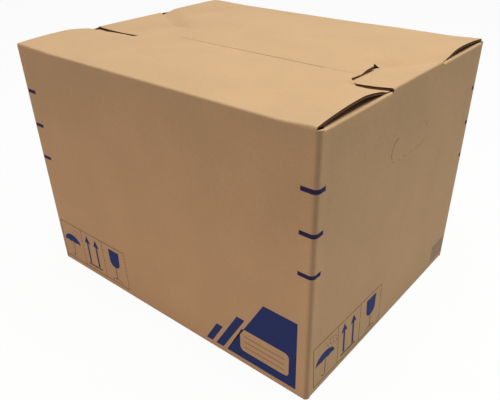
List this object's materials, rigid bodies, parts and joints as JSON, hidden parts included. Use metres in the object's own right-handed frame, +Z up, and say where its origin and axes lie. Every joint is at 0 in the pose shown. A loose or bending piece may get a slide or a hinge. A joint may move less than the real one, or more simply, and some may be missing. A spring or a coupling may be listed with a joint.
{
  "type": "closed cardboard box",
  "caption": "Closed corrugated carton folded from one blank, with lapped long flaps, tucked locking tongues and die-cut hand holes.",
  "frame": {"origin": "middle of the bottom face, where the box stands", "axes": "+X along the long side to the right, +Y from the front panel to the back, +Z up"},
  "size_m": [0.5, 0.399, 0.3645],
  "materials": {
    "kraft_board": "matte brown kraft liner",
    "indigo_print": "matte water-based print"
  },
  "bodies": {
    "root": {"carton": "kraft_board"}
  },
  "joints": []
}
